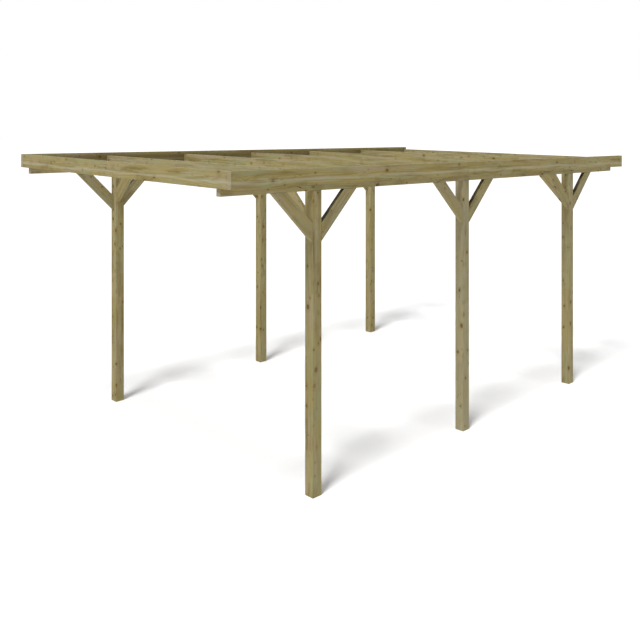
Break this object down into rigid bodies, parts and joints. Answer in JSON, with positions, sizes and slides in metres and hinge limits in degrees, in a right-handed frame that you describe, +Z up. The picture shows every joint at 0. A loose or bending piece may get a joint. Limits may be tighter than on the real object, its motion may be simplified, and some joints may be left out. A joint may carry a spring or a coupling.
{
  "type": "carport",
  "caption": "Open timber carport frame with a nearly flat roof: square posts, purlins, rafters, edge boards and knee braces.",
  "frame": {"origin": "middle of the plan, on the ground", "axes": "+X to the right side, +Y along the length to the back, +Z up; the front with the tall board faces -Y"},
  "size_m": [3.3, 5.4974, 2.5142],
  "materials": {
    "post_pine": "planed, pressure-treated green-brown softwood",
    "purlin_pine": "planed, pressure-treated green-brown softwood",
    "board_pine": "planed, pressure-treated green-brown softwood",
    "rafter_pine": "planed, pressure-treated green-brown softwood",
    "brace_pine": "planed, pressure-treated green-brown softwood",
    "zinc_fixing": "dull zinc-plated steel"
  },
  "bodies": {
    "root": {"post_left_front": "post_pine", "post_left_middle": "post_pine", "post_left_back": "post_pine", "post_right_front": "post_pine", "post_right_middle": "post_pine", "post_right_back": "post_pine", "purlin_left": "purlin_pine", "purlin_right": "purlin_pine", "front_board": "board_pine", "side_board_left": "board_pine", "side_board_right": "board_pine", "rafter_1": "rafter_pine", "rafter_2": "rafter_pine", "rafter_3": "rafter_pine", "rafter_4": "rafter_pine", "rafter_5": "rafter_pine", "back_rafter": "rafter_pine", "brace_left_front_a": "brace_pine", "brace_left_front_b": "brace_pine", "brace_left_middle_a": "brace_pine", "brace_left_middle_b": "brace_pine", "brace_left_back_a": "brace_pine", "brace_left_back_b": "brace_pine", "brace_right_front_a": "brace_pine", "brace_right_front_b": "brace_pine", "brace_right_middle_a": "brace_pine", "brace_right_middle_b": "brace_pine", "brace_right_back_a": "brace_pine", "brace_right_back_b": "brace_pine", "cross_brace_left_front": "brace_pine", "cross_brace_left_back": "brace_pine", "cross_brace_right_front": "brace_pine", "cross_brace_right_back": "brace_pine"}
  },
  "joints": []
}
